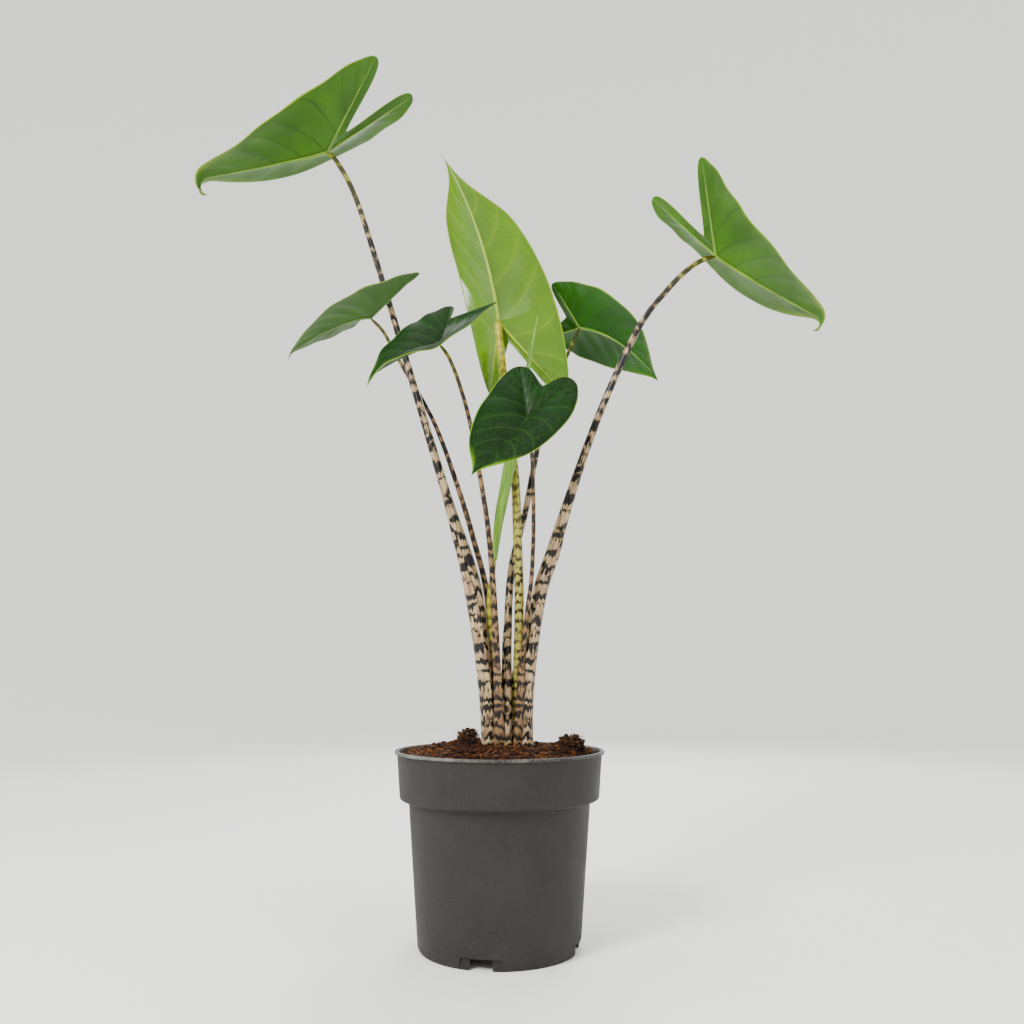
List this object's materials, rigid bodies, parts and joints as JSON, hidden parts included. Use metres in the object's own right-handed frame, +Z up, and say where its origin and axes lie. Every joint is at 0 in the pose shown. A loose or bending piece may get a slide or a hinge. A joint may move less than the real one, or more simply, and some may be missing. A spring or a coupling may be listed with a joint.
{
  "type": "potted alocasia",
  "caption": "Arrow-leaved house plant with dark-banded stalks and waxy green blades, growing from soil in a round grey nursery pot that stands on its flat foot.",
  "frame": {"origin": "middle of the flat centre foot under the pot, on the plane that the pot stands on", "axes": "+Z up along the pot's axis, the plant's widest spread along X with the tallest leaf towards -X, and the front leaf towards -Y"},
  "size_m": [0.6663, 0.2309, 0.9235],
  "materials": {
    "pot_plastic": "satin moulded, fine speckle",
    "potting_soil": "rough coir and peat",
    "coir_fibre": "rough fibre",
    "rhizome": "matte bark",
    "banded_stalk": "satin, cream with dark bands",
    "yellow_banded_stalk": "satin, yellow green with dark dashes",
    "blade_mid_green": "satin, waxy",
    "blade_dull_green": "satin, waxy",
    "blade_dark_green": "semi-gloss, waxy",
    "blade_right_green": "semi-gloss, waxy",
    "blade_lime_green": "glossy, waxy",
    "blade_rolled_green": "satin, waxy"
  },
  "bodies": {
    "root": {"leaf_centre": "blade_lime_green", "leaf_centre_left": "blade_dark_green", "leaf_front": "blade_dark_green", "leaf_middle_left": "blade_dull_green", "leaf_right": "blade_right_green", "leaf_rolled": "blade_rolled_green", "leaf_upper_left": "blade_mid_green", "leaf_upper_right": "blade_mid_green", "pot": "pot_plastic", "rhizome": "rhizome", "soil": "potting_soil", "stalk_centre": "yellow_banded_stalk", "stalk_centre_left": "banded_stalk", "stalk_front": "banded_stalk", "stalk_middle_left": "banded_stalk", "stalk_right": "banded_stalk", "stalk_rolled_leaf": "yellow_banded_stalk", "stalk_upper_left": "banded_stalk", "stalk_upper_right": "banded_stalk", "tuft_left": "coir_fibre", "tuft_right": "coir_fibre"}
  },
  "joints": []
}
